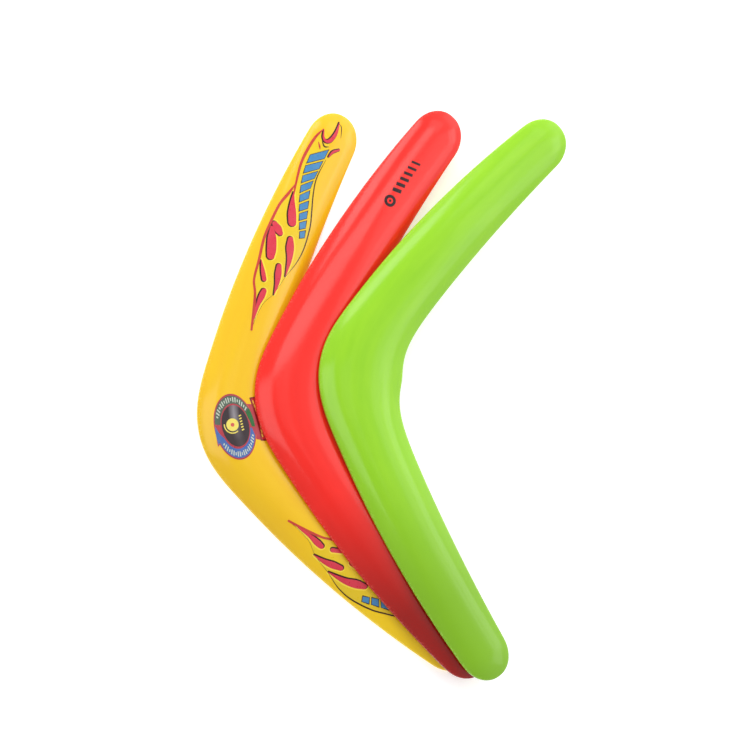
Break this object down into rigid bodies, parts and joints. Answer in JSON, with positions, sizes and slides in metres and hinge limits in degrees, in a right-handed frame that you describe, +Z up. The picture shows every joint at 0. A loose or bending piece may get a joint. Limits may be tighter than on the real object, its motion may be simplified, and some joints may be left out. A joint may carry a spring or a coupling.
{
  "type": "boomerang",
  "caption": "V-shaped toy boomerangs of one crowned plastic moulding in yellow, red and green, fanned one on another and lifting off one by one.",
  "frame": {"origin": "under the middle of the fanned set, on the surface that it lies on", "axes": "+Z up from the surface; +Y from the lower tips to the upper tips; the V of each boomerang opens towards +X"},
  "size_m": [0.242, 0.3608, 0.024],
  "materials": {
    "yellow_plastic": "glossy moulded polypropylene, slightly translucent",
    "red_plastic": "glossy moulded polypropylene, slightly translucent",
    "green_plastic": "glossy moulded polypropylene, slightly translucent",
    "flame_film": "thin printed transfer film, satin gloss",
    "badge_foil": "dark foil with green and blue sheen",
    "banner_film": "thin printed transfer film, satin gloss",
    "dark_ink": "pad-printed ink, satin"
  },
  "bodies": {
    "yellow_boomerang": {"yellow_wing": "yellow_plastic", "yellow_upper_flame_print": "flame_film", "yellow_lower_flame_print": "flame_film", "yellow_elbow_badge": "badge_foil", "yellow_badge_banner": "banner_film"},
    "red_boomerang": {"red_wing": "red_plastic", "red_arm_emblem": "dark_ink", "red_arm_word_bar": "dark_ink"},
    "green_boomerang": {"green_wing": "green_plastic"}
  },
  "joints": [
    {"name": "red_lift", "type": "slide", "parent": "yellow_boomerang", "child": "red_boomerang", "axis": [0, 0, 1], "range_m": [0, 0.06]},
    {"name": "green_lift", "type": "slide", "parent": "red_boomerang", "child": "green_boomerang", "axis": [0, 0, 1], "range_m": [0, 0.06]}
  ]
}
